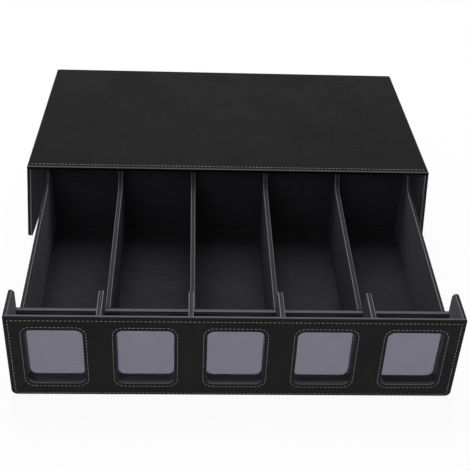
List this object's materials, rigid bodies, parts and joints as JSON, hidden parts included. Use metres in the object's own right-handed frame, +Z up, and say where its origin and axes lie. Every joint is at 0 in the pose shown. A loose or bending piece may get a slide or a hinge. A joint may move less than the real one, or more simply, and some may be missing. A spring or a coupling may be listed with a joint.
{
  "type": "trading card box",
  "caption": "Long black card storage box: a tray of card channels with a windowed display front slides out of a cover that is open underneath.",
  "frame": {"origin": "middle of the floor area that the box covers as modelled, with the tray pulled out", "axes": "+Y from the display front towards the cover's back, +X to the right seen from the front, +Z up"},
  "size_m": [0.4774, 0.499, 0.102],
  "materials": {
    "leather_black": "fine grained black imitation leather over stiff board, with pale edge stitching",
    "suede_grey": "short dark grey suede nap",
    "window_film": "clear glossy plastic sheet"
  },
  "bodies": {
    "cover": {"cover_top": "leather_black", "cover_left_side": "leather_black", "cover_right_side": "leather_black", "cover_back": "leather_black", "cover_top_lining": "suede_grey", "cover_left_lining": "suede_grey", "cover_right_lining": "suede_grey", "cover_back_lining": "suede_grey"},
    "tray": {"tray_floor": "leather_black", "tray_left_wall": "leather_black", "tray_right_wall": "leather_black", "tray_back_wall": "leather_black", "divider_1": "leather_black", "divider_2": "leather_black", "divider_3": "leather_black", "divider_4": "leather_black", "display_face": "leather_black", "display_floor": "leather_black", "display_back_panel": "leather_black", "left_wing": "leather_black", "right_wing": "leather_black", "fin_1": "leather_black", "fin_2": "leather_black", "fin_3": "leather_black", "fin_4": "leather_black", "window_frame_1": "leather_black", "window_frame_2": "leather_black", "window_frame_3": "leather_black", "window_frame_4": "leather_black", "window_frame_5": "leather_black", "tray_left_lining": "suede_grey", "tray_right_lining": "suede_grey", "tray_back_lining": "suede_grey", "tray_front_lining": "suede_grey", "channel_pad_1": "suede_grey", "channel_pad_2": "suede_grey", "channel_pad_3": "suede_grey", "channel_pad_4": "suede_grey", "channel_pad_5": "suede_grey", "display_back_lining": "suede_grey", "left_wing_lining": "suede_grey", "right_wing_lining": "suede_grey", "window_pane_1": "window_film", "window_pane_2": "window_film", "window_pane_3": "window_film", "window_pane_4": "window_film", "window_pane_5": "window_film"}
  },
  "joints": [
    {"name": "tray_slide", "type": "slide", "parent": "cover", "child": "tray", "axis": [0, -1, 0], "range_m": [-0.213, 0.014]}
  ]
}
